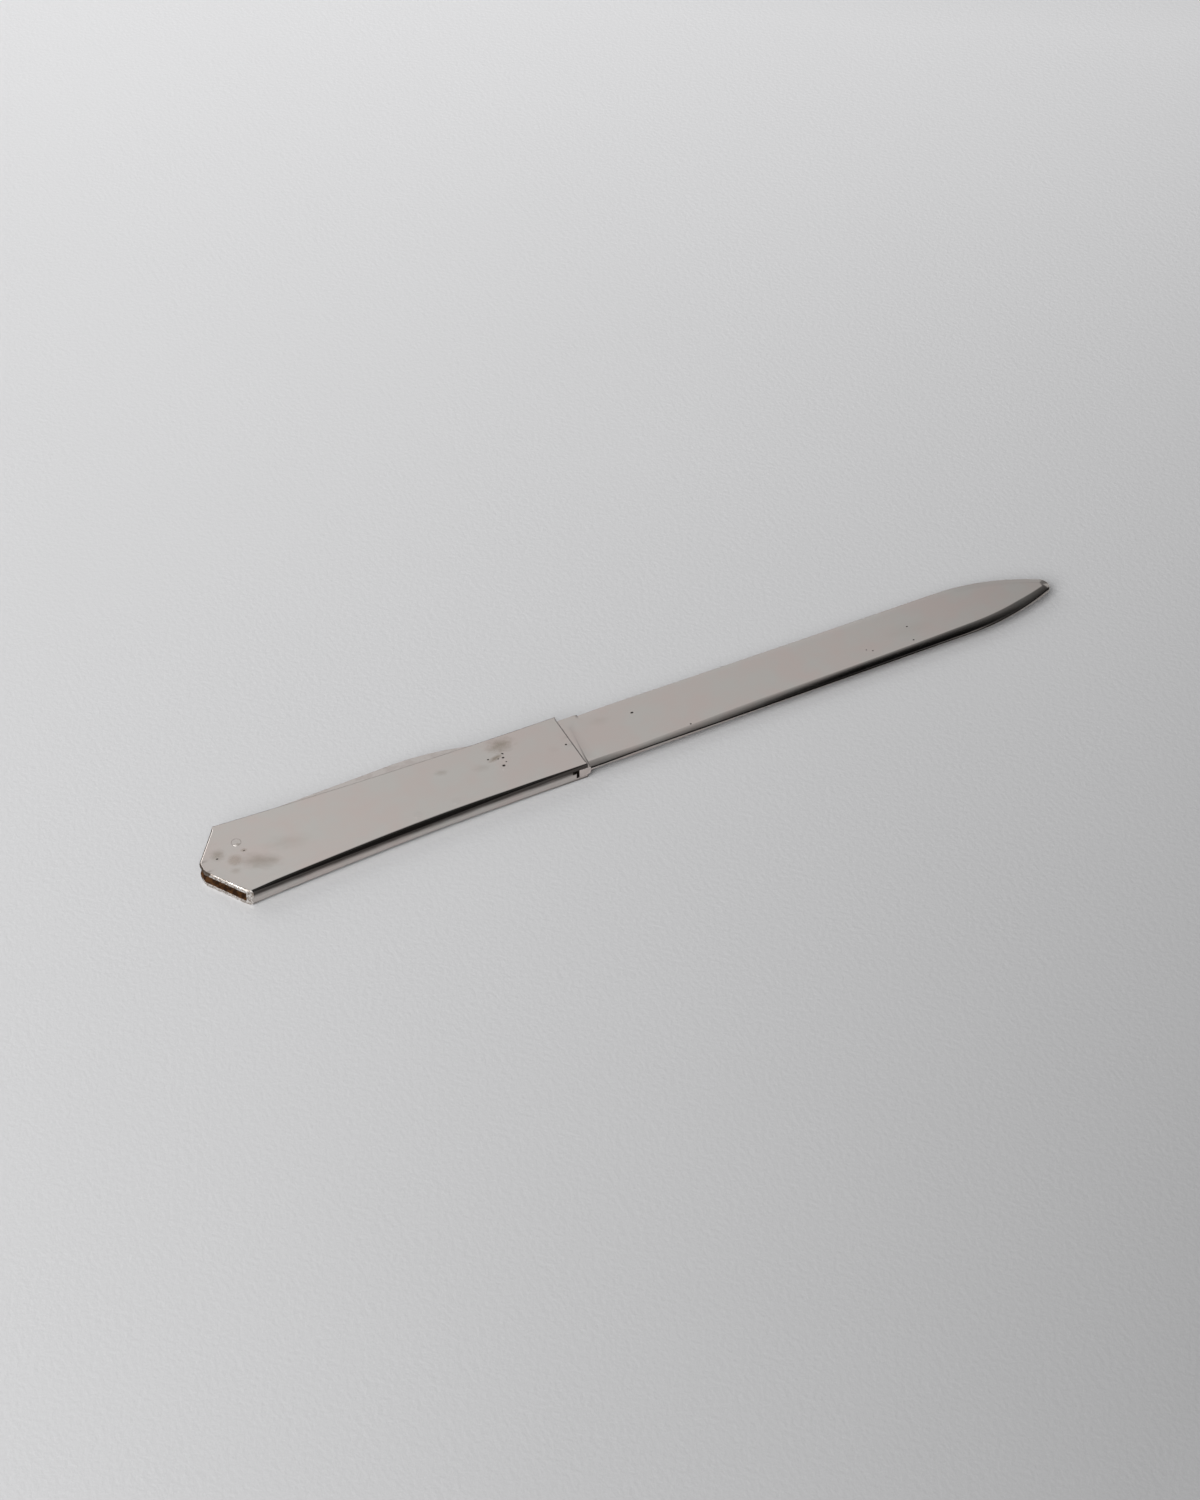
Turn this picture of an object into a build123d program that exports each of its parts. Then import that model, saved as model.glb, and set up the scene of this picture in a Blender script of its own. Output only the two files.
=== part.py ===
"""Letter opener with a pen blade that folds into its handle.

The handle is one strip of sheet metal folded along the near side (-Y). Its two cheeks hold the tang of the
letter blade at the front (+X), and a pen blade with its back spring at the pommel (-X).
The origin is on the underside of the handle, half way along it. Lengths are in millimetres.
"""
from build123d import *
import math
import os

# Handle: a folded strip, wider at the pommel, which is cut in two facets with a blunt nose between them
handle_length = 86.6
pommel_width = 21.6
front_width = 16.7
pommel_facet_length = 6.4
pommel_nose_width = 2.8
pommel_nose_radius = 0.9
handle_height = 4.2
sheet_thickness = 1.05
bend_inner_radius = 0.1

# Window in the folded wall, where the shoulder of the letter blade shows at the side
window_length = 2.9
window_slit = 0.45
relief_length = 0.9
relief_height = 0.8

# Letter blade
blade_length = 124.4
blade_root_width = 16.4
blade_front_width = 15.7
blade_thickness = 1.7
blade_bevel_width = 1.55
blade_edge_land = 0.7
tip_length = 26.0
tip_radius = 3.0

# Tang and shoulder of the letter blade
tang_length = 22.5
tang_far_edge = 2.2
tang_step_length = 7.5
tang_step_radius = 2.0
shoulder_far_recess = 0.5
shoulder_near_reach = 0.6
shoulder_middle_reach = 2.1
shoulder_ear_reach = 5.2
shoulder_ear_width = 1.9
shoulder_ear_start = 4.6
shoulder_ramp_length = 0.9

# Pen blade, drawn closed, about its pivot
pivot_from_nose = 9.2
pivot_offset = 4.1
tang_radius = 4.3
pen_back_rise = 6.85
pen_back_slope = 1.65
pen_edge_drop = 0.9
pen_tip_room = 5.2
pen_tip_rise = 3.1
pen_back_straight = 36.7
pen_edge_straight = 44.2
pen_ricasso_length = 9.0
pen_back_thickness = 1.6
pen_edge_thickness = 0.2
kick_angle = 45.0
kick_near = 4.0
kick_far = 5.4
kick_end = 6.4
nail_nick_length = 9.0
nail_nick_from_pivot = 35.2
nail_nick_below_back = 1.5
nail_nick_depth = 0.35
nail_nick_width = 1.2

# Back spring
spring_nose_reach = 2.2
spring_nose_length = 4.6
spring_nose_depth = 2.6
spring_tang_room = 4.5
spring_heel_length = 16.0
spring_heel_width = 3.4

# Pins and rivets, all filed flush with the cheeks
pivot_pin_radius = 1.05
rivet_radius = 0.95
spring_rivet_rear_from_heel = 12.5
spring_rivet_front_from_heel = 3.5
tang_rivet_rear_from_front = 16.8
tang_rivet_front_from_front = 4.8
tang_rivet_offset = -0.9

# Fits
rivet_clearance = 0.02
pivot_clearance = 0.05
pen_side_clearance = 0.1
spring_side_clearance = 0.05
spring_wall_clearance = 0.05
tang_wall_clearance = 0.05
spring_tang_clearance = 0.06
kick_clearance = 0.1
stop_clearance = 0.1

# Places worked out from the sizes above
nose_x = -handle_length / 2
front_x = handle_length / 2
corner_x = nose_x + pommel_facet_length
half_nose = pommel_nose_width / 2
half_pommel = pommel_width / 2
half_front = front_width / 2
middle_z = handle_height / 2
slot_low = sheet_thickness
slot_high = handle_height - sheet_thickness
gap = slot_high - slot_low
bend_outer_radius = bend_inner_radius + sheet_thickness
flare = half_pommel - half_front
flare_length = front_x - corner_x
side_radius = (flare_length**2 + flare**2) / (2 * flare)
window_x = front_x - window_length
tang_x = front_x - tang_length
pivot_x = nose_x + pivot_from_nose
pivot_y = pivot_offset
step_x = front_x - tang_step_length
pen_length = step_x - pen_tip_room - pivot_x
overrun = 5.0


def side_y(x, inset=0.0):
    """Distance of the handle's curved side from the axis at x, moved in by inset."""
    return half_front + side_radius - math.sqrt((side_radius + inset) ** 2 - (front_x - x) ** 2)


def side_arc(x_start, x_end, side, inset=0.0):
    """The curved side between two stations, on the far side (+1) or the near side (-1)."""
    x_middle = (x_start + x_end) / 2
    stations = [(x, side * side_y(x, inset)) for x in (x_start, x_middle, x_end)]
    return ThreePointArc(*stations)


def outline(*edges):
    """A flat face from edges that run head to tail."""
    return make_face(Curve() + list(edges))


def slab(face, low_z, high_z):
    """The face drawn out from one height to another."""
    return Pos(0, 0, low_z) * extrude(face, high_z - low_z)


def pin(x, y, radius, low_z=0.0, high_z=handle_height):
    """A plain round pin standing along Z."""
    return Pos(x, y, low_z) * Cylinder(radius, high_z - low_z, align=(Align.CENTER, Align.CENTER, Align.MIN))


# The spring's plan: a heel along the folded wall, and an arm that reaches to the pen blade's tang
spring_inset = sheet_thickness + bend_inner_radius + spring_wall_clearance
spring_heel_x = tang_x - spring_tang_room
spring_bend_x = spring_heel_x - spring_heel_length
spring_far_y = spring_heel_width - side_y(spring_heel_x, spring_inset)
nose_rear_x = pivot_x - spring_nose_reach
nose_front_x = nose_rear_x + spring_nose_length
nose_top_y = pivot_y - tang_radius - spring_tang_clearance
nose_bottom_y = nose_top_y - spring_nose_depth
arm_slope = (spring_far_y - nose_top_y) / (spring_bend_x - nose_front_x)

spring_rivet_y = spring_far_y - spring_heel_width / 2
rivet_places = {
    "spring_rivet_rear": (spring_heel_x - spring_rivet_rear_from_heel, spring_rivet_y),
    "spring_rivet_front": (spring_heel_x - spring_rivet_front_from_heel, spring_rivet_y),
    "tang_rivet_rear": (front_x - tang_rivet_rear_from_front, tang_rivet_offset),
    "tang_rivet_front": (front_x - tang_rivet_front_from_front, tang_rivet_offset),
}


def rivet_holes(names):
    """Clearance holes for the named rivets."""
    return [pin(*rivet_places[name], rivet_radius + rivet_clearance) for name in names]


def wall_cut(rear_x, ahead_x, low_z, high_z):
    """A block that takes the folded wall away between two stations and two heights."""
    outside_y = -half_front - overrun
    face = outline(Polyline((rear_x, outside_y), (ahead_x, outside_y), (ahead_x, 0), (rear_x, 0), close=True))
    return slab(face, low_z, high_z)


def make_handle_shell():
    """The folded strip: cheeks above and below, one wall on the near side, open elsewhere."""
    face = outline(
        Line((nose_x, -half_nose), (corner_x, -half_pommel)),
        side_arc(corner_x, front_x, -1),
        Line((front_x, -half_front), (front_x, half_front)),
        side_arc(front_x, corner_x, 1),
        Line((corner_x, half_pommel), (nose_x, half_nose)),
        Line((nose_x, half_nose), (nose_x, -half_nose)),
    )
    face = fillet(face.vertices().sort_by(Axis.X)[:2], pommel_nose_radius)
    body = slab(face, 0, handle_height)
    long_edges = [edge for edge in body.edges() if edge.length > flare_length]
    near_edges = [edge for edge in long_edges if edge.center().Y < -half_front]
    body = fillet(near_edges, bend_outer_radius)

    rear_x = nose_x - overrun
    ahead_x = front_x + overrun
    channel = slab(
        outline(
            side_arc(rear_x, ahead_x, -1, sheet_thickness),
            Line((ahead_x, -side_y(ahead_x, sheet_thickness)), (ahead_x, pommel_width)),
            Line((ahead_x, pommel_width), (rear_x, pommel_width)),
            Line((rear_x, pommel_width), (rear_x, -side_y(rear_x, sheet_thickness))),
        ),
        slot_low,
        slot_high,
    )
    bend_edges = [edge for edge in channel.edges() if edge.center().Y < 0 and edge.length > flare_length]
    body -= fillet(bend_edges, bend_inner_radius)

    body -= wall_cut(window_x, ahead_x, slot_low, slot_high)
    body -= wall_cut(window_x - relief_length, window_x, slot_high - relief_height, slot_high)

    body -= rivet_holes(rivet_places)
    body -= pin(pivot_x, pivot_y, pivot_pin_radius + rivet_clearance)
    return body


def letter_blade_outline():
    """The blade's plan: straight sides that close in slightly, then two arcs and a round point."""
    root_x = front_x - blade_bevel_width
    tip_x = front_x + blade_length
    ogive_x = tip_x - tip_length
    half_root = blade_root_width / 2
    half_blade = blade_front_width / 2
    arc_length = tip_length - tip_radius
    narrowing = half_blade - tip_radius
    ogive_radius = (arc_length**2 + half_blade**2 - tip_radius**2) / (2 * narrowing)
    lean = math.atan2(arc_length, ogive_radius - half_blade)
    turn = lean / 2
    ogive_half = (ogive_x + ogive_radius * math.sin(turn), half_blade - ogive_radius * (1 - math.cos(turn)))
    ogive_near = (ogive_half[0], -ogive_half[1])
    point_start = (tip_x - tip_radius + tip_radius * math.sin(lean), tip_radius * math.cos(lean))
    point_near = (point_start[0], -point_start[1])
    return outline(
        Line((root_x, half_root), (root_x, -half_root)),
        Line((root_x, -half_root), (ogive_x, -half_blade)),
        ThreePointArc((ogive_x, -half_blade), ogive_near, point_near),
        ThreePointArc(point_near, (tip_x, 0), point_start),
        ThreePointArc(point_start, ogive_half, (ogive_x, half_blade)),
        Line((ogive_x, half_blade), (root_x, half_root)),
    )


def make_shoulder():
    """Full-width shoulder at the root of the letter blade, and the tang riveted between the cheeks."""
    ear_x = window_x + window_slit
    far_y = half_front - shoulder_far_recess
    inset = sheet_thickness + bend_inner_radius + tang_wall_clearance
    near_tip = (front_x + shoulder_near_reach, -half_front)
    middle = (front_x + shoulder_middle_reach, shoulder_ear_start)
    ear_near = (front_x + shoulder_ear_reach, far_y - shoulder_ear_width)
    ear_far = (front_x + shoulder_ear_reach, far_y)
    face = outline(
        side_arc(tang_x, ear_x, -1, inset),
        Polyline((ear_x, -side_y(ear_x, inset)), (ear_x, -half_front), near_tip, middle, ear_near, ear_far),
        Polyline(ear_far, (step_x, far_y), (step_x, tang_far_edge), (tang_x, tang_far_edge)),
        Line((tang_x, tang_far_edge), (tang_x, -side_y(tang_x, inset))),
    )
    corner = face.vertices().sort_by_distance((step_x, tang_far_edge, 0))[0]
    body = slab(fillet([corner], tang_step_radius), slot_low, slot_high)

    ramp_drop = (gap - blade_thickness) / 2
    for top in (body.faces().sort_by(Axis.Z)[-1], body.faces().sort_by(Axis.Z)[0]):
        height = top.center().Z
        front_edges = []
        for start, end in ((near_tip, middle), (middle, ear_near), (ear_near, ear_far)):
            halfway = ((start[0] + end[0]) / 2, (start[1] + end[1]) / 2, height)
            front_edges.append(body.edges().sort_by_distance(halfway)[0])
        body = chamfer(front_edges, shoulder_ramp_length, ramp_drop, reference=top)
    return body


def make_letter_blade():
    """Blade with a bevel along both edges of both faces, on its shoulder and tang."""
    face = letter_blade_outline()
    land = blade_edge_land / 2
    bevel_drop = blade_thickness / 2 - land
    bevel_angle = math.degrees(math.atan2(blade_bevel_width, bevel_drop))
    upper = Pos(0, 0, land) * extrude(face, bevel_drop, taper=bevel_angle)
    blade = slab(face, -land, land) + upper + mirror(upper, Plane.XY)
    body = Pos(0, 0, middle_z) * blade + make_shoulder()
    return body - rivet_holes(["tang_rivet_rear", "tang_rivet_front"])


def pen_blade_outline():
    """The closed pen blade about its pivot: round tang, stop shoulder, back, spear point, edge and kick."""
    shoulder_u = spring_nose_reach + stop_clearance
    shoulder_foot = (shoulder_u, math.sqrt(tang_radius**2 - shoulder_u**2))
    back_start = (shoulder_u, pen_back_rise)
    back_direction = (math.cos(math.radians(pen_back_slope)), math.sin(math.radians(pen_back_slope)))
    back_end = tuple(start + pen_back_straight * step for start, step in zip(back_start, back_direction))
    tip = (pen_length, pen_tip_rise)
    edge_end = (pen_edge_straight, -pen_edge_drop)
    kick_points = []
    for kick_u in (kick_near, kick_far):
        spring_v = nose_top_y + arm_slope * (pivot_x + kick_u - nose_front_x) - pivot_y
        kick_points.append((kick_u, spring_v + kick_clearance))
    foot_angle = math.degrees(math.atan2(shoulder_foot[1], shoulder_foot[0]))
    round_tang = CenterArc((0, 0), tang_radius, foot_angle, 360 - kick_angle - foot_angle)
    return outline(
        Polyline(shoulder_foot, back_start, back_end),
        TangentArc(back_end, tip, tangent=back_direction),
        TangentArc(edge_end, tip, tangent=(1, 0)),
        Polyline(edge_end, (kick_end, -pen_edge_drop), kick_points[1], kick_points[0], round_tang @ 1),
        round_tang,
    )


def make_pen_blade():
    """Pen blade with a thick tang, ground to a thin edge, and a nail nick on its under face."""
    tang_half = gap / 2 - pen_side_clearance
    body = slab(pen_blade_outline(), -tang_half, tang_half)

    back_half = pen_back_thickness / 2
    edge_half = pen_edge_thickness / 2
    grind_top = pen_back_rise + pen_back_straight * math.sin(math.radians(pen_back_slope))
    grind_slope = (back_half - edge_half) / (grind_top + pen_edge_drop)
    low_v = -pen_edge_drop - overrun
    high_v = grind_top + overrun
    above = Polyline(
        (low_v, edge_half - grind_slope * overrun), (high_v, back_half + grind_slope * overrun),
        (high_v, gap), (low_v, gap), close=True)
    grind = extrude(Plane.YZ.offset(pen_ricasso_length) * make_face(above), pen_length)
    body -= grind
    body -= mirror(grind, Plane.XY)

    nick_radius = (nail_nick_length**2 / 4 + nail_nick_depth**2) / (2 * nail_nick_depth)
    back_v = pen_back_rise + nail_nick_from_pivot * math.tan(math.radians(pen_back_slope))
    nick_v = back_v - nail_nick_below_back
    nick_floor = edge_half + grind_slope * (nick_v + pen_edge_drop) - nail_nick_depth
    cutter = Rot(X=90) * Cylinder(nick_radius, nail_nick_width)
    body -= Pos(nail_nick_from_pivot, nick_v, -nick_floor - nick_radius) * cutter

    body -= pin(0, 0, pivot_pin_radius + pivot_clearance, -gap, gap)
    return Pos(pivot_x, pivot_y, middle_z) * body


def make_back_spring():
    """Flat spring: riveted heel, and a tapering arm whose nose bears on the pen blade's tang."""
    face = outline(
        side_arc(spring_bend_x, spring_heel_x, -1, spring_inset),
        Polyline(
            (spring_heel_x, -side_y(spring_heel_x, spring_inset)), (spring_heel_x, spring_far_y),
            (spring_bend_x, spring_far_y), (nose_front_x, nose_top_y), (nose_rear_x, nose_top_y),
            (nose_rear_x, nose_bottom_y), (nose_front_x, nose_bottom_y),
            (spring_bend_x, -side_y(spring_bend_x, spring_inset))),
    )
    body = slab(face, slot_low + spring_side_clearance, slot_high - spring_side_clearance)
    return body - rivet_holes(["spring_rivet_rear", "spring_rivet_front"])


def main():
    os.makedirs("parts", exist_ok=True)
    nodes = {
        "handle_shell": make_handle_shell(),
        "letter_blade": make_letter_blade(),
        "pen_blade": make_pen_blade(),
        "pen_pivot_pin": pin(pivot_x, pivot_y, pivot_pin_radius),
        "back_spring": make_back_spring(),
    }
    for name, place in rivet_places.items():
        nodes[name] = pin(*place, rivet_radius)
    for name, solid in nodes.items():
        solid.label = name
        export_step(solid, f"parts/{name}.step")


main()
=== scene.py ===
# %% [markdown]
# # A letter opener with a pen blade folded into its handle
# The real one is a flat bar of plated metal: a handle bent from one strip of sheet, a long letter blade
# riveted between its two cheeks, and a small pen blade that swings out past the pommel. The CAD model
# already fixes the sizes and the hinge, so this lesson only adds what a solid lacks: worn and filed edges,
# plating, tarnish and light.

# %% Load the CAD frame
import math
from functools import partial

import bmesh
import bpy
import numpy as np
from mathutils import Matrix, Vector


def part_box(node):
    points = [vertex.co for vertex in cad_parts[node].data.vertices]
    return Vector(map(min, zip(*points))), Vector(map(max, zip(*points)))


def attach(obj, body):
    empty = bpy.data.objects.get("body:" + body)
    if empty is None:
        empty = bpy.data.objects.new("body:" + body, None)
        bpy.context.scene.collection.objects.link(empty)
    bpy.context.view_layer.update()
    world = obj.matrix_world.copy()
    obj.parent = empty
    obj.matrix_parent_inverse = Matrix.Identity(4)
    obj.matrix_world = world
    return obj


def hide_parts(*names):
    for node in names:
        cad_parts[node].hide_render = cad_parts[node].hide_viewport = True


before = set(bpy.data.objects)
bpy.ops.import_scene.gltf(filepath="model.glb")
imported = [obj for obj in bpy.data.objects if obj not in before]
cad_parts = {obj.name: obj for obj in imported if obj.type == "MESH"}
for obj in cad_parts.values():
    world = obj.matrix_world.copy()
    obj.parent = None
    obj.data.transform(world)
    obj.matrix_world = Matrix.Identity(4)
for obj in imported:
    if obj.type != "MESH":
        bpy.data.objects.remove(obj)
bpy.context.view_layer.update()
scene = bpy.context.scene
print("CAD nodes:", sorted(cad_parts))

# %% [markdown]
# ## Camera
# The photograph looks down on the table at about 44 degrees, with the opener running from lower left to
# upper right. A camera could be placed by eye, but the handle's corners and the tip fix it exactly: its
# angle, distance and lens put them where the photograph has them.


# %% Helper to put objects into the scene
def put(name, data, place=(0, 0, 0), looks_along=None):
    """A new object at a place, and a camera or lamp also turned to look along a direction."""
    thing = bpy.data.objects.new(name, data)
    scene.collection.objects.link(thing)
    thing.location = place
    if looks_along is not None:
        thing.rotation_mode = "QUATERNION"
        thing.rotation_quaternion = looks_along.to_track_quat("-Z", "Y")
    return thing


# %% Camera at the photograph's angle
azimuth, elevation, distance = math.radians(-26.81), math.radians(44.13), 0.6414
looked_at = Vector((0.04944, -0.00175, 0))
on_table = math.cos(elevation)
away = Vector((math.sin(azimuth) * on_table, -math.cos(azimuth) * on_table, math.sin(elevation)))
camera_data = bpy.data.cameras.new("photo_camera")
camera_data.lens = 69.6
camera_data.sensor_width = 36
camera_data.clip_start = 0.01
camera = put("photo_camera", camera_data, looked_at + away * distance, -away)
scene.camera = camera
print("camera at", [round(value, 3) for value in camera.location])

# %% [markdown]
# ## The room that the metal mirrors
# Polished plating has hardly any colour of its own: the flat top mirrors the pale far wall, and the rounded
# fold mirrors the dark middle of the room as one black line. A picture of a room could be wrapped round the
# scene, but a few nodes on the direction are easier to tune: a bright far wall that fades to the right,
# with a dark flag and a small pale card in front of it, two pale side walls and a faint glow at the
# horizon.


# %% Helpers to add nodes
def add_node(tree, kind, inputs=None, **settings):
    """A node, of the shader kind unless named in full, with settings, and inputs as values or sockets."""
    node = tree.nodes.new(kind if "Node" in kind else "ShaderNode" + kind)
    for name, value in settings.items():
        setattr(node, name, value)
    for name, value in (inputs or {}).items():
        socket = node.inputs[name]
        if isinstance(value, bpy.types.NodeSocket):
            tree.links.new(value, socket)
        else:
            socket.default_value = value
    return node


def math_operation(name):
    """A function that carries one operation of the Math node through several numbers or sockets."""
    def carry(tree, *values, clamp=False):
        result = values[0]
        for value in values[1:]:
            step = add_node(tree, "Math", {0: result, 1: value}, operation=name, use_clamp=clamp)
            result = step.outputs[0]
        return result
    return carry


plus, minus, times, divide = map(math_operation, ("ADD", "SUBTRACT", "MULTIPLY", "DIVIDE"))
largest, smallest = map(math_operation, ("MAXIMUM", "MINIMUM"))


def add_steps(tree, value, stops):
    """A grey that follows the value through (place, level) stops, joined smoothly."""
    ramp = add_node(tree, "ValToRGB", {"Fac": value})
    ramp.color_ramp.interpolation = "EASE"
    while len(ramp.color_ramp.elements) < len(stops):
        ramp.color_ramp.elements.new(0.5)
    for element, (place, level) in zip(ramp.color_ramp.elements, stops):
        element.position = place
        element.color = (level, level, level, 1)
    return ramp.outputs["Color"]


# %% Directions in the room
world = bpy.data.worlds.new("pale_room")
scene.world = world
world.use_nodes = True
room = world.node_tree
room.nodes.clear()
direction = add_node(room, "TexCoord").outputs["Generated"]
heading = add_node(room, "SeparateXYZ", {0: direction}).outputs
across, from_viewer = (plus(room, times(room, heading[axis], 0.5), 0.5) for axis in "XY")
wall_pivot, wall_slant = 0.66, 0.35
slant = times(room, minus(room, across, wall_pivot), wall_slant)
slanted_away = minus(room, from_viewer, slant)
print("room directions:", len(room.nodes), "nodes")

# %% Walls and horizon
wall_stops = [
    (0.0, 0.05), (0.3, 0.035), (0.44, 0.006), (0.51, 0.012),
    (0.55, 0.08), (0.595, 0.37), (0.64, 0.78), (0.70, 1.0),
]
fade_stops = [
    (0.0, 0.4), (0.54, 0.45), (0.593, 0.67), (0.665, 0.58),
    (0.70, 0.545), (0.74, 0.43), (0.92, 0.42),
]
far_wall = times(room, add_steps(room, slanted_away, wall_stops), add_steps(room, across, fade_stops))
left_side = add_steps(room, across, [(0.0, 0.42), (0.25, 0.36), (0.45, 0.24), (0.5, 0.16), (0.56, 0.0)])
right_side = add_steps(room, across, [(0.76, 0.0), (0.84, 0.32), (1.0, 0.4)])
near_half = add_steps(room, from_viewer, [(0.3, 1.0), (0.42, 0.0)])
right_side = times(room, right_side, near_half)
low_glow = add_steps(room, heading["Z"], [(0.0, 0.2), (0.06, 0.1), (0.13, 0.0)])
print("walls and horizon:", len(room.nodes), "nodes so far")

# %% Dark flag and pale card
flag = add_steps(room, across, [(0.74, 1.0), (0.785, 0.4), (0.9, 0.4), (0.95, 1.0)])
above_flag = add_steps(room, from_viewer, [(0.85, 0.0), (0.89, 1.0)])
wall_light = times(room, far_wall, largest(room, flag, above_flag))
card_across = add_steps(room, across, [(0.83, 0.0), (0.86, 0.5)])
card_away = add_steps(room, from_viewer, [(0.63, 0.0), (0.68, 1.0), (0.765, 1.0), (0.795, 0.0)])
card = times(room, card_across, card_away)
shade = largest(room, wall_light, left_side, right_side, card, low_glow)
background = add_node(room, "Background", {"Color": shade})
add_node(room, "OutputWorld", {"Surface": background.outputs[0]})
print("room nodes:", len(room.nodes))

# %% [markdown]
# ## Lights and table
# The main lamp is wide and soft and stands on the left, almost in line with the handle, so the handle
# throws only a faint shadow across the table. One weaker lamp in front opens that shadow, and one behind
# lights the far left of the table. The table is plain pale paper with a painted falloff of light in its
# colour: it grows darker towards the viewer and to the right.


# %% Soft lamps
def soft_lamp(name, place, aim, size, power):
    """A square soft lamp that looks at a point on the table."""
    data = bpy.data.lights.new(name, "AREA")
    data.size = size
    data.energy = power
    return put(name, data, place, Vector(aim) - Vector(place))


lamps = [
    soft_lamp("window_lamp", (-0.70, -0.33, 0.66), (0.03, 0.0, 0.0), size=0.9, power=12.0),
    soft_lamp("front_lamp", (-0.40, -0.80, 0.65), (0.05, 0.0, 0.0), size=0.8, power=2.5),
    soft_lamp("back_lamp", (-0.28, 0.60, 0.34), (-0.05, 0.3, 0.0), size=0.5, power=1.3),
]
print("lamps:", [(lamp.name, lamp.data.energy) for lamp in lamps])


# %% Helpers for textures
def add_vector(tree, operation, *vectors):
    """The result of a Vector Math node, which is a number for a dot product or a length."""
    outputs = add_node(tree, "VectorMath", dict(enumerate(vectors)), operation=operation).outputs
    return outputs["Value" if operation in ("DOT_PRODUCT", "LENGTH") else "Vector"]


def add_noise(tree, place, scale, detail, roughness=0.5):
    """The value of a noise texture at a place."""
    inputs = {"Vector": place, "Scale": scale, "Detail": detail, "Roughness": roughness}
    return add_node(tree, "TexNoise", inputs).outputs["Fac"]


def add_mix(tree, share, first, second):
    """A mix of two colours, the second by a share."""
    return add_node(tree, "MixRGB", {0: share, 1: first, 2: second}).outputs[0]


def add_bump(tree, relief, strength, depth):
    """A normal that follows a relief, with its depth in metres."""
    inputs = {"Height": relief, "Strength": strength, "Distance": depth}
    return add_node(tree, "Bump", inputs).outputs[0]


# %% Tone of the paper, with painted light falloff
bpy.ops.mesh.primitive_plane_add(size=6, location=(0, 0, 0))
table_top = bpy.context.object
table_top.name = "table_top"
paper = bpy.data.materials.new("pale_paper")
paper.use_nodes = True
tree = paper.node_tree
place = add_node(tree, "TexCoord").outputs["Object"]
back = add_vector(tree, "DOT_PRODUCT", place, (0.451, 0.8925, 0.0))
right = add_vector(tree, "DOT_PRODUCT", place, (0.8925, -0.451, 0.0))
back_rise, back_curve = 0.615, 0.94
right_fall, right_curve, twist = 0.28, 0.9, 2.04
middle_tone, darkest, palest, cloudiness = 0.53, 0.36, 0.88, 0.02
# These gradients paint the falloff of light into the paper's colour; only the cloudy noise is the paper's
# own.
back_slope = plus(tree, times(tree, back, back_curve), back_rise)
painted_back_falloff = times(tree, back, back_slope)
bend = minus(tree, times(tree, back, twist), times(tree, right, right_curve))
painted_side_falloff = times(tree, right, minus(tree, bend, right_fall))
cloudy = times(tree, add_noise(tree, place, 9.0, 6.0), cloudiness)
tone = plus(tree, painted_back_falloff, painted_side_falloff, cloudy, middle_tone)
tone = smallest(tree, largest(tree, tone, darkest), palest)
print("paper tone from", darkest, "to", palest)

# %% Table top
surface = tree.nodes["Principled BSDF"].inputs
surface["Roughness"].default_value = 0.75
surface["Specular IOR Level"].default_value = 0.2
black, paper_white = (0, 0, 0, 1), (1.0, 1.0, 1.012, 1)
tree.links.new(add_mix(tree, tone, black, paper_white), surface["Base Color"])
tooth = add_noise(tree, place, 900.0, 4.0)
tree.links.new(add_bump(tree, tooth, 0.25, 0.0004), surface["Normal"])
table_top.data.materials.append(paper)
print("table top:", table_top.dimensions[0], "m wide")

# %% [markdown]
# ## Wear that every metal piece shares
# Years of handling leave three things on plating: a cloudy tone, fine lines along the length from
# polishing, and a few stray scratches. All the metals need them in different amounts, so they are one node
# group with named inputs.


# %% Helpers for node groups
def new_group(name, inputs, outputs, kind="ShaderNodeTree"):
    """An empty node group with sockets by name and kind, and what it is given in use."""
    group = bpy.data.node_groups.new(name, kind)
    for side, sockets in (("INPUT", inputs), ("OUTPUT", outputs)):
        for label, socket_kind in sockets.items():
            group.interface.new_socket(label, in_out=side, socket_type="NodeSocket" + socket_kind)
    return group, group.nodes.new("NodeGroupInput").outputs


def end_group(group, results):
    """Links the results to the group's outputs."""
    add_node(group, "NodeGroupOutput", results)
    print("group:", group.name, [item.name for item in group.interface.items_tree])


def turn_about_z(tree, place, angle):
    """A place turned about the Z axis."""
    inputs = {"Vector": place, "Angle": angle}
    return add_node(tree, "VectorRotate", inputs, rotation_type="Z_AXIS").outputs[0]


def add_range(tree, value, zero_at, one_at, **settings):
    """A value mapped to 0 at one place and to 1 at another."""
    inputs = {"Value": value, "From Min": zero_at, "From Max": one_at}
    return add_node(tree, "MapRange", inputs, **settings).outputs[0]


# %% Node group: handling wear
wear_inputs = {"Place": "Vector", "Line Count": "Float", "Cloud Size": "Float"}
wear_outputs = {"Cloud": "Float", "Lines": "Float", "Scratches": "Float"}
wear, given = new_group("handling_wear", wear_inputs, wear_outputs)
cloud = add_noise(wear, add_vector(wear, "DIVIDE", given["Place"], given["Cloud Size"]), 1.0, 4.0)
count = given["Line Count"]
stretch = add_node(wear, "CombineXYZ", {"X": 0.12, "Y": count, "Z": count})
lines = add_noise(wear, add_vector(wear, "MULTIPLY", given["Place"], stretch.outputs[0]), 1.0, 5.0)
strays = []
for turn, seed in ((0.35, 3.0), (-0.6, 11.0), (1.2, 23.0)):
    turned = turn_about_z(wear, given["Place"], turn)
    inputs = {"Vector": turned, "Location": (seed, seed, 0), "Scale": (0.09, 3.2, 1.0)}
    drawn = add_node(wear, "Mapping", inputs).outputs[0]
    strays.append(add_range(wear, add_noise(wear, drawn, 1.0, 2.0), 0.66, 0.72))
end_group(wear, {"Cloud": cloud, "Lines": lines, "Scratches": largest(wear, *strays)})

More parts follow.
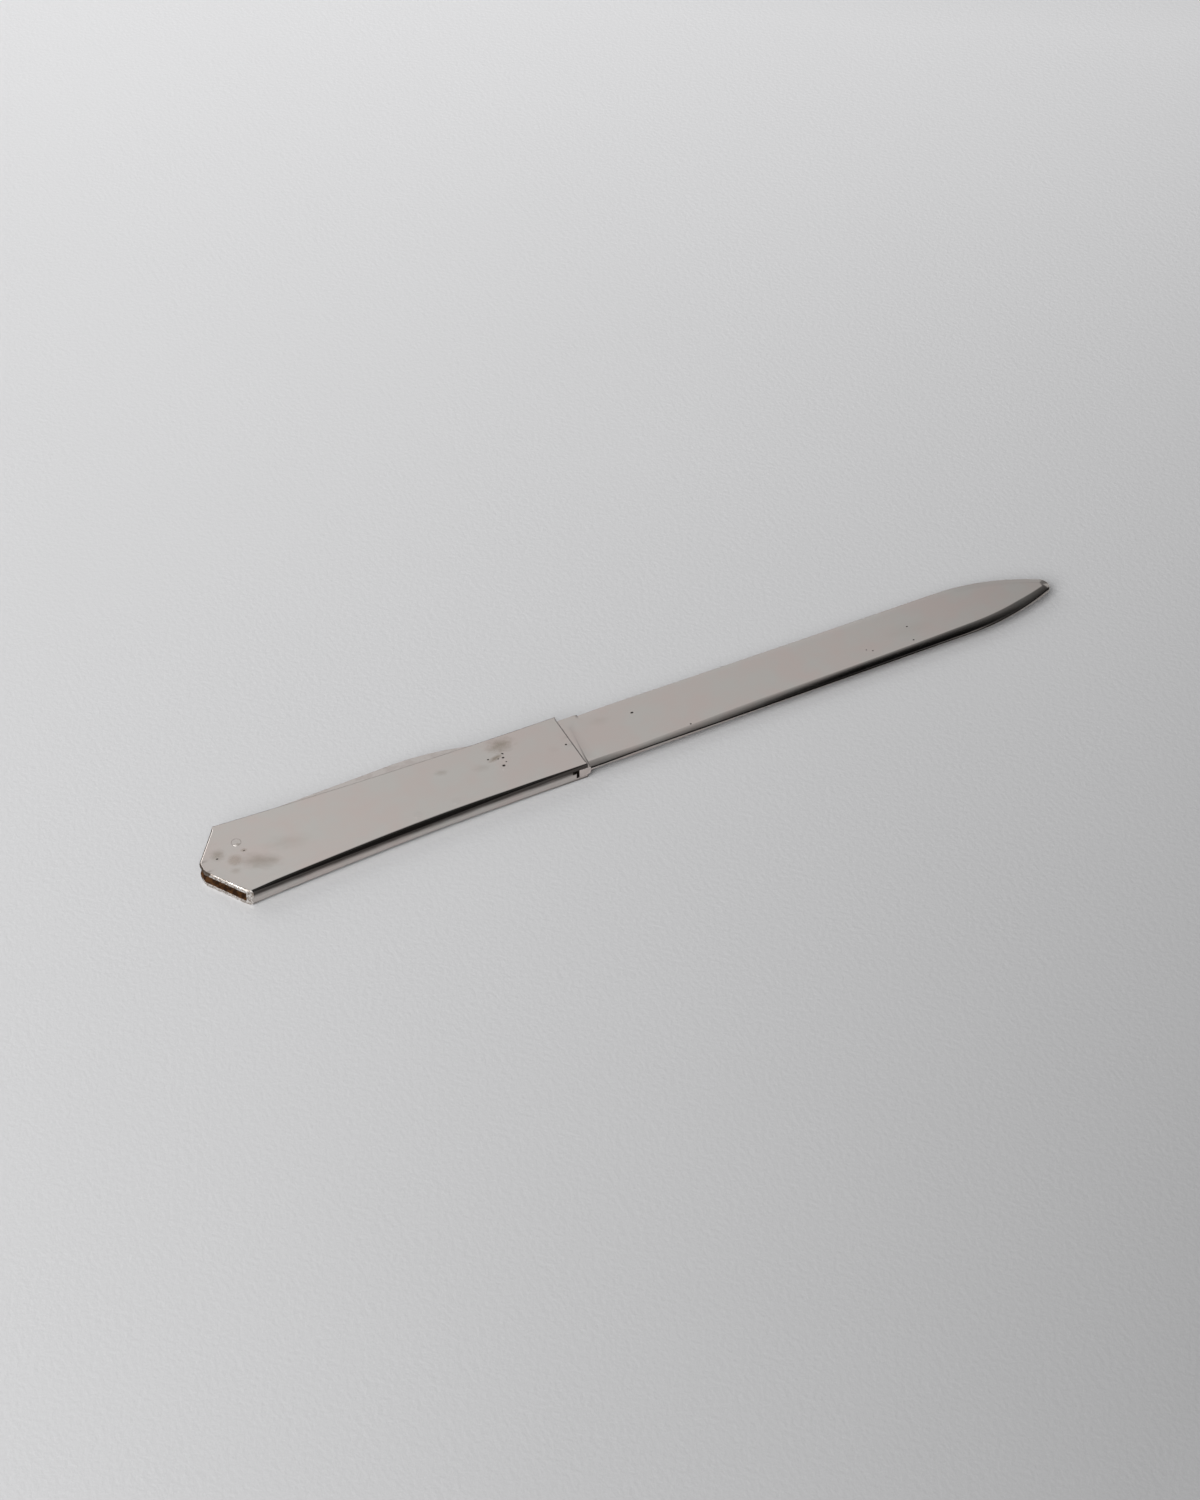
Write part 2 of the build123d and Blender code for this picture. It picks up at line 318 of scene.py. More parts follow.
# %% [markdown]
# ## Stains and pits
# The photograph shows brown tarnish near the pommel and the front of the handle, and small black pits where
# the plating has failed. Each is a ragged oval at a known place, so a second group draws one oval mask, and
# a table of places, in millimetres from the handle's middle, calls it once for each mark.

# %% Node group: one mark
mark_inputs = {
    "Place": "Vector", "Centre": "Vector", "Reach": "Vector",
    "Turn": "Float", "Ragged": "Float", "Fringe": "Float",
}
mark, given = new_group("tarnish_mark", mark_inputs, {"Mask": "Float"})
from_centre = add_vector(mark, "SUBTRACT", given["Place"], given["Centre"])
relative = add_vector(mark, "DIVIDE", turn_about_z(mark, from_centre, given["Turn"]), given["Reach"])
rough = minus(mark, add_noise(mark, relative, 2.2, 5.0, 0.65), 0.5)
pushed = times(mark, rough, given["Ragged"])
edge = plus(mark, add_vector(mark, "LENGTH", relative), pushed)
inner = minus(mark, 1.0, given["Fringe"])
end_group(mark, {"Mask": add_range(mark, edge, 1.0, inner, interpolation_type="SMOOTHSTEP")})


# %% Helpers to place marks
def place_mark(tree, place, face_z, x, y, reach_x, reach_y, turn=0.0, ragged=0.6, fringe=0.6, strength=1.0):
    """The mask of one mark on the face at a height, scaled by its strength."""
    inputs = {"Place": place, "Centre": (x, y, face_z), "Reach": (reach_x, reach_y, 1.0)}
    inputs.update({"Turn": turn, "Ragged": ragged, "Fringe": fringe})
    node = add_node(tree, "Group", inputs, node_tree=mark)
    return times(tree, node.outputs["Mask"], strength)


def place_marks(tree, place, face_z, marks):
    """The strongest of several marks at each point."""
    return largest(tree, *[place_mark(tree, place, face_z, *numbers) for numbers in marks])


# %% [markdown]
# ## Plated finishes
# The plating is a warm, slightly yellow nickel. A metal in Blender takes its mirror colour from Base Color,
# so that is where the warmth goes; the marks darken and redden it, and the wear makes its gloss uneven. The
# handle and the letter blade get the same recipe with their own marks.


# %% Helpers for metals
def millimetres(tree):
    """The point on the object, in millimetres."""
    metres = add_node(tree, "TexCoord").outputs["Object"]
    return add_node(tree, "VectorMath", {0: metres, "Scale": 1000.0}, operation="SCALE").outputs[0]


def new_metal(name, metallic, line_count, cloud_size):
    """A worn metal without colour: material, tree, inputs of its shader, place in millimetres and wear."""
    material = bpy.data.materials.new(name)
    material.use_nodes = True
    tree = material.node_tree
    shader = tree.nodes["Principled BSDF"].inputs
    shader["Metallic"].default_value = metallic
    place = millimetres(tree)
    inputs = {"Place": place, "Line Count": line_count, "Cloud Size": cloud_size}
    worn = add_node(tree, "Group", inputs, node_tree=wear).outputs
    return material, tree, shader, place, worn


# %% Recipe for plated metal
pink_cloud, grey_cloud = (1.015, 0.965, 0.955), (0.985, 1.005, 1.0)
pit_colour = (0.02, 0.016, 0.013, 1)


def plated_finish(name, colour, face_z, stains, pits, line_count):
    """Polished plating with stains, as (marks, colour), and pits on the face at a height in mm."""
    material, tree, shader, place, worn = new_metal(name, 1.0, line_count, 7.0)
    pink, grey = ((*np.multiply(colour, tint), 1) for tint in (pink_cloud, grey_cloud))
    shade = add_mix(tree, add_range(tree, worn["Cloud"], 0.35, 0.65), pink, grey)
    masks = []
    for marks, tint in stains:
        masks.append(place_marks(tree, place, face_z, marks))
        shade = add_mix(tree, masks[-1], shade, (*tint, 1))
    pit_mask = place_marks(tree, place, face_z, pits)
    tree.links.new(add_mix(tree, pit_mask, shade, pit_colour), shader["Base Color"])

    polished, relief_depth = 0.085, 0.000006
    cloudy = times(tree, worn["Cloud"], 0.07)
    scratched = times(tree, worn["Scratches"], 0.06)
    dulled = times(tree, largest(tree, *masks, pit_mask), 0.25)
    tree.links.new(plus(tree, cloudy, polished, scratched, dulled, clamp=True), shader["Roughness"])
    raised = times(tree, worn["Lines"], 0.25)
    cut = times(tree, worn["Scratches"], 0.3)
    sunk = times(tree, pit_mask, 0.6)
    relief = minus(tree, raised, cut, sunk)
    tree.links.new(add_bump(tree, relief, 0.5, relief_depth), shader["Normal"])
    return material


nickel = (0.69, 0.645, 0.615)
tarnish = (0.42, 0.36, 0.30)
red_tarnish = (0.55, 0.47, 0.41)
handle_top, blade_top = 4.2, 2.95

# %% [markdown]
# Each mark is x, y, its reach along both, and for stains also its turn, raggedness, fringe and strength.

# %% Handle plating and its marks
pommel_stains = [
    (-31.6, -3.2, 5.8, 3.0, 0.55, 0.9, 1.0, 0.55), (-29.6, -4.0, 3.4, 2.0, 0.5, 0.8, 1.0, 0.5),
    (-39.0, 2.3, 2.2, 2.2, 0.0, 0.8, 1.0, 0.6), (-37.2, -3.6, 1.6, 1.2, 0.3, 0.9, 1.0, 0.3),
]
pommel_rings = [
    (-36.2, -0.7, 2.1, 2.1, 0.2, 0.5, 0.7, 0.7), (-33.5, 1.25, 1.0, 0.7, 0.2, 0.4, 0.9, 0.8),
    (-24.0, -0.8, 7.0, 3.0, 0.3, 1.0, 1.0, 0.25),
]
front_stains = [
    (28.6, 5.6, 4.4, 3.0, 0.1, 1.3, 1.0, 0.75), (26.0, 2.4, 2.6, 0.9, -0.25, 0.9, 0.9, 0.9),
    (13.5, 3.6, 2.2, 1.2, 0.3, 1.0, 1.0, 0.35), (22.0, 1.0, 3.0, 1.6, 0.3, 1.2, 1.0, 0.2),
]
handle_pits = [
    (24.3, 2.7, 0.35, 0.25), (27.5, 1.8, 0.42, 0.34), (26.4, 1.9, 0.25, 0.2), (27.9, 3.0, 0.4, 0.25, 0.9),
    (27.6, 0.35, 0.25, 0.2), (41.6, -0.7, 0.34, 0.32), (-39.5, 1.3, 0.35, 0.25), (-33.5, 1.1, 0.25, 0.2),
]
handle_stains = [(pommel_stains, tarnish), (pommel_rings, red_tarnish), (front_stains, tarnish)]
plated_handle = plated_finish("plated_handle_finish", nickel, handle_top, handle_stains, handle_pits, 6.0)
print("handle marks:", len(handle_stains), "groups of stains,", len(handle_pits), "pits")

# %% [markdown]
# Painted shade runs along the bend: near-black streaks widen its black reflection and darken the foot of
# the near wall where it meets the table, and a brown band darkens the letter blade's edge. It follows the
# height above the table, so it needs no map, only that height and a noise stretched along the opener.


# %% Painted shade at given heights
def add_painted_shade(material, stops, colour, film, start_x, end_x):
    """Painted shade by (height in mm, strength) stops, coming in from x to x; the film is its share without
    shine.
    """
    tree = material.node_tree
    shader = tree.nodes["Principled BSDF"].inputs
    plain = shader["Base Color"].links[0].from_socket
    place = millimetres(tree)
    parts = add_node(tree, "SeparateXYZ", {0: place}).outputs
    drawn = add_node(tree, "Mapping", {"Vector": place, "Scale": (0.22, 1.0, 2.4)}).outputs[0]
    streaks = minus(tree, add_noise(tree, drawn, 1.0, 5.0), 0.5)
    pushed = plus(tree, parts["Z"], times(tree, streaks, 0.7))
    shares = [(rise / handle_top, strength) for rise, strength in stops]
    ragged = add_steps(tree, divide(tree, pushed, handle_top), shares)
    below_top = add_range(tree, parts["Z"], handle_top - 0.08, handle_top - 0.25)
    off_table = add_range(tree, parts["Z"], 0.03, 0.12)
    along = add_range(tree, parts["X"], start_x, end_x)
    near = add_range(tree, parts["Y"], -1.0, -2.0)
    mask = times(tree, ragged, below_top, off_table, along, near)
    tree.links.new(add_mix(tree, mask, plain, (*colour, 1)), shader["Base Color"])
    bare_metal = minus(tree, 1.0, times(tree, mask, film))
    tree.links.new(bare_metal, shader["Metallic"])


# Near-black painted shade on the near side of the fold: it widens the black reflection and darkens the wall's
# foot.
fold_shade_stops = [(0.25, 0.85), (0.6, 0.5), (0.95, 0.14), (1.9, 0.12), (2.4, 0.36), (2.72, 0.72), (3.1, 0.93)]
add_painted_shade(plated_handle, fold_shade_stops, (0.03, 0.024, 0.02), film=0.08, start_x=-44.0, end_x=-43.0)
print("grime along the fold added to", plated_handle.name)

# %% Blade plating and its marks
blade_marks = [(52.0, 4.0, 4.0, 2.0, 0.2, 1.0, 1.0, 0.2), (130.0, -1.0, 9.0, 3.0, 0.1, 1.0, 1.0, 0.12)]
blade_pits = [
    (59.8, 3.0, 0.5, 0.35), (69.8, -6.1, 0.3, 0.25), (129.4, 0.1, 0.3, 0.25),
    (128.4, -4.5, 0.3, 0.25), (118.2, -3.5, 0.25, 0.2), (117.0, -2.6, 0.2, 0.2),
]
blade_stains = [(blade_marks, red_tarnish)]
plated_blade = plated_finish("plated_blade_finish", nickel, blade_top, blade_stains, blade_pits, 5.0)
# A brown band of painted shade along the blade's edge, which mirrors the shaded table under the blade.
blade_edge_shade_stops = [(1.35, 0.0), (1.7, 0.35), (2.35, 0.35), (2.75, 0.0)]
add_painted_shade(plated_blade, blade_edge_shade_stops, (0.16, 0.125, 0.1), film=0.0, start_x=44.0, end_x=47.0)
print("blade marks:", len(blade_marks), "stains,", len(blade_pits), "pits")

# %% [markdown]
# ## Other metals
# Where the strip was sawn and filed, its edge is bright and coarse, and inside the fold the steel has
# rusted. Cut faces in the window and its slot are near-black painted shade. The pen blade is ground steel
# with lines along it, the spring is dull and brown, and the pins are filed flush.


# %% Recipe for worked steel
def steel_finish(name, clean, dirty, patch_size, dirt_share, dull, coarse, line_count, metallic):
    """Metal in two tones, in patches of a size in mm, with a coarse surface from filing or rust."""
    material, tree, shader, place, worn = new_metal(name, metallic, line_count, patch_size)
    shader["Specular IOR Level"].default_value = 0.1
    patch_start = 0.75 - dirt_share * 0.5
    patch = add_range(tree, worn["Cloud"], patch_start, 0.85 - dirt_share * 0.5)
    tree.links.new(add_mix(tree, patch, (*clean, 1), (*dirty, 1)), shader["Base Color"])
    lined = times(tree, worn["Lines"], 0.2)
    patchy = times(tree, patch, dull * 0.4)
    tree.links.new(plus(tree, lined, dull - 0.1, patchy, clamp=True), shader["Roughness"])
    grit = add_noise(tree, place, 5.0, 4.0)
    relief = plus(tree, grit, times(tree, worn["Lines"], 0.6))
    tree.links.new(add_bump(tree, relief, 0.6, coarse), shader["Normal"])
    return material


# %% [markdown]
# Each steel is its clean and dirty colour, patch size, share of dirt, roughness, coarseness in metres, line
# count and how metallic it is: rust and the near-black painted shade aren't.

# %% Steels and pins
# The dark_rim finish is the darker colour of the sheet's far edge and of the pommel's rim away from the filed
# part.
steel_table = [
    ("filed_edge", (0.80, 0.77, 0.74), (0.36, 0.31, 0.27), 0.4, 0.6, 0.34, 0.00008, 7.0, 1.0),
    ("dark_rim", (0.17, 0.145, 0.125), (0.085, 0.067, 0.054), 1.3, 0.65, 0.5, 0.00005, 6.0, 1.0),
    ("rusty_channel", (0.085, 0.038, 0.014), (0.03, 0.014, 0.007), 1.1, 0.6, 0.8, 0.0001, 3.0, 0.0),
    ("recess_shade_black", (0.022, 0.017, 0.014), (0.012, 0.01, 0.008), 0.8, 0.5, 0.9, 0.00005, 3.0, 0.0),
    ("pen_steel", (0.70, 0.65, 0.62), (0.66, 0.605, 0.575), 3.0, 0.5, 0.13, 0.000002, 9.0, 1.0),
    ("spring_steel", (0.32, 0.27, 0.23), (0.17, 0.10, 0.06), 1.1, 0.6, 0.5, 0.00004, 6.0, 1.0),
]
steels = [steel_finish(name + "_finish", *numbers) for name, *numbers in steel_table]
filed_edge, dark_rim, rusty_channel, recess_shade_black, pen_steel, spring_steel = steels
pin_colour = tuple(value * 0.98 for value in nickel)
pin_stains = [([(-33.8, 3.3, 0.9, 0.5, 0.7, 0.6, 0.8, 0.5)], tarnish)]
pin_pits = [(-36.0, 3.6, 0.2, 0.5, 0.3), (26.6, -0.5, 0.5, 0.42, 0.3)]
pin_metal = plated_finish("pin_metal_finish", pin_colour, handle_top, pin_stains, pin_pits, 6.0)
print("finishes:", [finish.name for finish in [*steels, pin_metal]])

# %% [markdown]
# ## Handle shell
# One strip is folded along the near side, so every section along the handle is a lying U with a little more
# or less width and a sharper or rounder fold. A sweep along a curve can't follow the slanted pommel or the
# changing fold, so numpy works out the section point by point: an outer and an inner path, joined into
# rings from the pommel to the front. The first and last rings round the sheet's edges.

# %% Sizes of the shell, in millimetres
shell_low, shell_high = (corner * 1000 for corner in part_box("handle_shell"))
nose_x, front_x = shell_low.x, shell_high.x
half_pommel, height = shell_high.y, shell_high.z
half_front, facet_length, half_nose, nose_radius = 8.35, 6.4, 1.4, 0.9
sheet, inner_fold = 1.05, 0.1
corner_x = nose_x + facet_length
flare, flare_length = half_pommel - half_front, front_x - corner_x
side_radius = (flare_length**2 + flare**2) / (2 * flare)


def half_width(x):
    """Half the handle's width at x, along its hollow sides."""
    return half_front + side_radius - np.sqrt(side_radius**2 - (front_x - x) ** 2)


def fold_radius(x):
    """Outer radius of the fold: almost half round in the middle, pinched sharp at both ends."""
    places = [-37, -34, -31, -26, -20, -13, -5, 3, 10, 18, 25, 31, 36, 39, 43.3]
    radii = [0.5, 0.68, 0.92, 1.02, 1.1, 1.25, 1.42, 1.48, 1.42, 1.17, 0.86, 0.72, 0.52, 0.42, 0.32]
    return np.interp(x, places, radii)


print("handle from", round(nose_x, 2), "to", round(front_x, 2), "mm")

# %% Steps of one section
far_round, far_inner_round = 0.16, 0.08
wall_lean = math.radians(5)
far_steps, fold_steps, wall_steps = 4, 14, 6
pommel_rows = [9.0, 7.0, 5.0, 3.4, 2.2, 1.8, 1.64, 1.56, 1.48, 1.4, 1.32, 1.24, 1.13, 0.5]
flat_share = np.array([(y + 10) / 20 for y in [-row for row in pommel_rows] + [0.0] + pommel_rows[::-1]])
far_turn = np.radians(np.linspace(0, 90, far_steps + 1))
fold_turn = np.linspace(0, 1, fold_steps + 1)
wall_turn = np.linspace(-1, 1, wall_steps + 1)[1:-1]
lower_cuts = np.cumsum([len(far_turn), len(flat_share)])
lower_count = lower_cuts[1] + len(fold_turn)
path_count = 2 * lower_count + len(wall_turn)
print("points in one section:", 2 * path_count)


# %% The folded section
def lower_half(far_y, near_y, edge_round, bend_round, bend_turn, sheet_z, out):
    """Lower sheet from far edge to bend: y, z and facing. Out is -1 on the outside, 1 on the inside."""
    edge, flat, bend = np.split(np.arange(lower_count), lower_cuts)
    y, z, face_y, face_z = np.zeros((4, lower_count))
    y[edge] = far_y[edge] + edge_round * np.cos(far_turn)
    z[edge] = sheet_z - out * edge_round * (1 - np.sin(far_turn))
    face_y[edge], face_z[edge] = np.cos(far_turn), out * np.sin(far_turn)
    y[flat] = near_y[flat] + flat_share[::-1] * (far_y - near_y)[flat]
    z[flat], face_z[flat] = sheet_z, out
    y[bend] = near_y[bend] + bend_round[bend] * np.cos(bend_turn)
    z[bend] = sheet_z + bend_round[bend] * (1 - np.sin(bend_turn))
    face_y[bend], face_z[bend] = -out * np.cos(bend_turn), out * np.sin(bend_turn)
    return np.stack([y, z, face_y, face_z])


def whole_section(lower, wall, x):
    """Lower sheet, near wall and upper sheet, the lower one turned over, from far edge to far edge."""
    below, above = lower(x[:lower_count]), lower(x[::-1][:lower_count])[:, ::-1]
    above[1], above[3] = height - above[1], -above[3]
    return np.concatenate([below, wall(x[lower_count:-lower_count]), above], axis=1)


# %% Outer and inner path
def wall_bulge(x):
    """Radius of the slightly bulging near wall."""
    half_wall = height / 2 - fold_radius(x) * (1 - math.sin(wall_lean))
    return half_wall / math.sin(wall_lean)


def outer_lower(x):
    half, fold = half_width(x), fold_radius(x)
    bend_y = -half + wall_bulge(x) * (1 - math.cos(wall_lean)) + fold * math.cos(wall_lean)
    bend_turn = np.pi / 2 + fold_turn * (np.pi / 2 - wall_lean)
    return lower_half(half - far_round, bend_y, far_round, fold, bend_turn, 0.0, -1)


def outer_wall(x):
    bulge, lean = wall_bulge(x), wall_turn * wall_lean
    y, z = -half_width(x) + bulge * (1 - np.cos(lean)), height / 2 + bulge * np.sin(lean)
    return np.stack([y, z, -np.cos(lean), np.sin(lean)])


def inner_lower(x):
    half, fold = half_width(x), np.full(len(x), inner_fold)
    bend_turn = np.pi / 2 * (1 + fold_turn)
    near_y, far_y = -half + sheet + inner_fold, half - far_inner_round
    return lower_half(far_y, near_y, far_inner_round, fold, bend_turn, sheet, 1)


def inner_wall(x):
    z = height / 2 + wall_turn * (height / 2 - sheet - inner_fold)
    return np.stack([-half_width(x) + sheet, z, np.ones(len(x)), np.zeros(len(x))])


outer_path = partial(whole_section, outer_lower, outer_wall)
inner_path = partial(whole_section, inner_lower, inner_wall)
print("paths: outside and inside of the fold, point for point")

# %% The pommel's outline
nose_y = 0.6
corner_cut, corner_reach = 0.45, 1.5
facet_slope = facet_length / (half_pommel - half_nose)
nose_tangent = nose_radius * math.tan(math.atan(facet_slope) / 2)
round_start = half_nose - nose_tangent
round_end = half_nose + nose_tangent * math.cos(math.atan(facet_slope))


def pommel_x(y):
    """Where the handle ends at y: a blunt nose a little off the axis, rounded corners, two facets."""
    from_nose = np.abs(y - nose_y)
    in_round = np.sqrt(np.maximum(nose_radius**2 - (from_nose - round_start) ** 2, 0.0))
    curved = nose_x + nose_radius - in_round
    to_corner = half_pommel - half_nose - nose_y * np.sign(y - nose_y)
    straight = nose_x + (from_nose - half_nose) * facet_length / to_corner
    near_corner = corner_cut * np.clip((-y - half_pommel + corner_reach) / corner_reach, 0.0, 1.0) ** 2
    rounded = np.where(from_nose < round_end, curved, straight)
    return np.where(from_nose < round_start, nose_x, rounded) + near_corner


def rear_ring(path, inset):
    """Station of each point at the pommel, drawn in by an inset of its own."""
    x = np.full(path_count, corner_x)
    lengthen = math.hypot(1, facet_slope)
    for _ in range(8):
        y = path(x)[0]
        x = pommel_x(y) + inset * np.interp(np.abs(y - nose_y), [round_start, round_end], [1.0, lengthen])
    return x


print("pommel facets slope", round(math.degrees(math.atan(facet_slope)), 1), "degrees")

# %% [markdown]
# The sheet's ends aren't sharp. The front edge and the far facet are polished over, while the near facet
# was only filed, so each point of the section has its own rounding at the front and at the pommel.


# %% Roundings at both ends
def rounding_room(path, x):
    """The most that each point can be rounded before the rounding folds over itself."""
    y, half, fold = path(x)[0], half_width(x), fold_radius(x)
    from_far_edge = np.maximum(half - far_round - y, 0.0)
    from_fold = np.maximum(y + half - fold, 0.0)
    return np.minimum(0.9 * far_round + 0.6 * from_far_edge, 0.9 * fold + 0.6 * from_fold)


def end_rounding(path, outer):
    """Rounding of the sheet's edge at the pommel and at the front, for each point of a path."""
    if not outer:
        return np.full(path_count, 0.05), np.full(path_count, 0.06)
    x = rear_ring(path, np.zeros(path_count))
    y, z = path(x)[:2]
    on_top = z > height / 2
    top_rear = np.interp(y, [-10, -7, -2.5, -1, 1.2, 2.5], [0.55, 0.42, 0.3, 0.26, 0.36, 0.5])
    rear, front = np.where(on_top, top_rear, 0.16), np.where(on_top, 0.5, 0.25)
    at_front = np.full(path_count, front_x)
    return np.minimum(rear, rounding_room(path, x)), np.minimum(front, rounding_room(path, at_front))


# %% Rings from pommel to front
def ring_at(path, x, rounding=0.0, turn=0.0):
    """One ring of points, drawn in from the surface where the edge rounds over."""
    y, z, face_y, face_z = path(x)
    sunk = rounding * (1 - math.cos(turn))
    return np.stack([x, y - face_y * sunk, z - face_z * sunk], axis=1)


def path_rings(path, outer):
    """All the rings of one path, as arrays of points."""
    rear, front = end_rounding(path, outer)
    turns = np.radians([90, 72, 54, 36, 18, 0])
    rings = [ring_at(path, rear_ring(path, rear * (1 - math.sin(turn))), rear, turn) for turn in turns]
    start, stop = rings[-1][:, 0], front_x - front
    rings += [ring_at(path, start + share * (stop - start)) for share in np.linspace(0, 1, 44)[1:-1]]
    rings += [ring_at(path, front_x - front * (1 - math.sin(turn)), front, turn) for turn in turns[::-1]]
    return rings


outer_rings, inner_rings = path_rings(outer_path, True), path_rings(inner_path, False)
print("rings:", len(outer_rings), "of", path_count, "points each side")


# %% Helpers for meshes
MM = 0.001


def ring_faces(rings, size, closed=True):
    """Four-sided faces between rings of points that follow each other in a list."""
    faces = []
    for here in range(0, (rings - 1) * size, size):
        for i in range(size if closed else size - 1):
            j = (i + 1) % size
            faces.append((here + i, here + j, here + size + j, here + size + i))
    return faces


def new_piece(name, points, faces, finishes, face_finish=None):
    """A mesh object at the origin from points in millimetres, with outward faces."""
    mesh = bpy.data.meshes.new(name)
    mesh.from_pydata([tuple(value * MM for value in point) for point in points], [], faces)
    for finish in finishes:
        mesh.materials.append(finish)
    if face_finish is not None:
        mesh.polygons.foreach_set("material_index", face_finish)
    work = bmesh.new()
    work.from_mesh(mesh)
    bmesh.ops.remove_doubles(work, verts=work.verts, dist=1e-7)
    bmesh.ops.recalc_face_normals(work, faces=work.faces)
    work.to_mesh(mesh)
    work.free()
    return put(name, mesh)


def bake_modifiers(piece):
    """Turns what the modifiers make into the piece's own mesh."""
    made = bpy.data.meshes.new_from_object(piece.evaluated_get(bpy.context.evaluated_depsgraph_get()))
    piece.modifiers.clear()
    piece.data = made


def combine(piece, tools, operation):
    """Cuts tools out of a piece or joins them to it, and removes the tools."""
    for tool in tools:
        step = piece.modifiers.new(tool.name, "BOOLEAN")
        step.object = tool
        step.operation = operation
        step.solver = "EXACT"
    bake_modifiers(piece)
    for tool in tools:
        bpy.data.objects.remove(tool)


# %% Helpers for edges and shading
def break_edges(piece, width_mm, from_degrees):
    """A small bevel on every edge sharper than an angle."""
    softened = piece.modifiers.new("broken_edges", "BEVEL")
    softened.width = width_mm * MM
    softened.segments = 2
    softened.limit_method = "ANGLE"
    softened.angle_limit = math.radians(from_degrees)


def smooth_metal(piece, sharp_degrees=40):
    """Smooth shading with flat flats and crisp edges, so that reflections run true."""
    piece.data.shade_smooth()
    piece.data.set_sharp_from_angle(angle=math.radians(sharp_degrees))
    weighted = piece.modifiers.new("true_flats", "WEIGHTED_NORMAL")
    weighted.keep_sharp = True
    weighted.weight = 100


# %% Finish of each face of the shell
# The last finish is near-black painted shade for the cut faces in the window and its slot.
PLATED, INSIDE, FILED, DARK_RIM, RECESS_SHADE = range(5)
shell_metals = [plated_handle, rusty_channel, filed_edge, dark_rim, recess_shade_black]
filed_to = -2.6
loop = 2 * path_count
rear_rings = 4


def is_filed(i):
    """Whether the pommel's edge is filed at a point of the section: only on the near side."""
    return outer_rings[0][i][1] < (nose_y if i < lower_cuts[1] else filed_to)


def side_finish(ring, i):
    """Finish of the face between two rings, at a point of the section."""
    if path_count <= i < loop - 1:
        return INSIDE
    on_rear = i < path_count and ring < rear_rings
    far_edge = path_count - len(far_turn) <= i < path_count
    if on_rear and is_filed(i):
        return FILED
    return DARK_RIM if on_rear or far_edge else PLATED


print("shell metals:", [metal.name for metal in shell_metals])

# %% Shell mesh
shell_points = []
for outer_ring, inner_ring in zip(outer_rings, inner_rings):
    shell_points += [*outer_ring, *inner_ring[::-1]]
shell_faces = ring_faces(len(outer_rings), loop)
shell_finish = [side_finish(*divmod(face, loop)) for face in range(len(shell_faces))]
for ring in (0, len(outer_rings) - 1):
    here = ring * loop
    for i in range(path_count - 1):
        shell_faces.append((here + i, here + i + 1, here + loop - 2 - i, here + loop - 1 - i))
        shell_finish.append(PLATED if ring else FILED if is_filed(i) else DARK_RIM)
handle_shell = new_piece("folded_handle", shell_points, shell_faces, shell_metals, shell_finish)
print("folded handle:", len(handle_shell.data.polygons), "faces")

# %% [markdown]
# ## Window, relief notch and rivet holes
# At the front the folded wall is cut away to show the letter blade's shoulder. The cuts are made like the
# real ones, with cutters: two blocks for the window and its notch, and a round one for each pin.


# %% Cutters
def block(name, low, high):
    """A box-shaped cutter between two corners, whose cut faces are near-black painted shade."""
    corners = [(x, y, z) for x in (low[0], high[0]) for y in (low[1], high[1]) for z in (low[2], high[2])]
    faces = [(0, 1, 3, 2), (4, 6, 7, 5), (0, 4, 5, 1), (2, 3, 7, 6), (0, 2, 6, 4), (1, 5, 7, 3)]
    return new_piece(name, corners, faces, shell_metals, [RECESS_SHADE] * 6)


def drill(name, x, y, radius, low_z=-1.0, high_z=5.2, sides=48):
    """A round cutter along Z."""
    turn = [2 * math.pi * i / sides for i in range(sides)]
    points = [(x + radius * math.cos(t), y + radius * math.sin(t), z) for z in (low_z, high_z) for t in turn]
    faces = ring_faces(2, sides) + [tuple(range(sides))[::-1], tuple(range(sides, 2 * sides))]
    return new_piece(name, points, faces, [plated_handle, rusty_channel], [INSIDE] * len(faces))


def pin_place(node):
    """Axis of a CAD pin and its radius, in millimetres."""
    low, high = (corner * 1000 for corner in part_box(node))
    return (low.x + high.x) / 2, (low.y + high.y) / 2, (high.x - low.x) / 2


pivot_room, rivet_room = 0.02, 0.002


def pin_holes(nodes, ending):
    """Cutters for the holes of several pins, each with a little room round it."""
    holes = []
    for node in nodes:
        x, y, radius = pin_place(node)
        room_round = pivot_room if node == "pen_pivot_pin" else rivet_room
        holes.append(drill(node + ending, x, y, radius + room_round))
    return holes


# %% Window and holes in the shell
rivet_nodes = ["spring_rivet_rear", "spring_rivet_front", "tang_rivet_rear", "tang_rivet_front"]
window_x, outside_y = front_x - 2.9, -14
wall_inside, slot_top = -half_front + sheet, height - sheet
window_low = (window_x, outside_y, sheet - 0.04)
window_high = (front_x + 3, wall_inside + 0.35, slot_top + 0.04)
notch_low = (window_x - 0.9, outside_y, slot_top - 0.8)
notch_high = (window_x + 0.2, wall_inside + 0.4, slot_top + 0.035)
cutters = [block("window_cut", window_low, window_high), block("relief_cut", notch_low, notch_high)]
cutters += pin_holes(rivet_nodes + ["pen_pivot_pin"], "_hole")
combine(handle_shell, cutters, "DIFFERENCE")
smooth_metal(handle_shell)
print("folded handle after cutting:", len(handle_shell.data.polygons), "faces")

# %% [markdown]
# ## Letter blade
# The blade is a flat bar with a bevel along its edges. The bevel isn't a plane: it is slightly round,
# shallow and blunt at the root where no paper is cut, and steeper and keener towards the point, which is
# worn back a little and leans to the near side. So the outline is walked once, and at each step the
# profile, from the flat over the bevel to the edge and back below, is set out along its normal.

# %% Blade outline
worn_off = 0.5
tip_x, blade_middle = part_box("letter_blade")[1].x * 1000 - worn_off, height / 2
root_x, half_root, half_blade = front_x - 1.55, 8.2, 7.85
tip_length, tip_radius, tip_y, half_thick = 25.5, 2.6, -1.15, 0.85
ogive_x = tip_x - tip_length
arc_length = tip_length - tip_radius


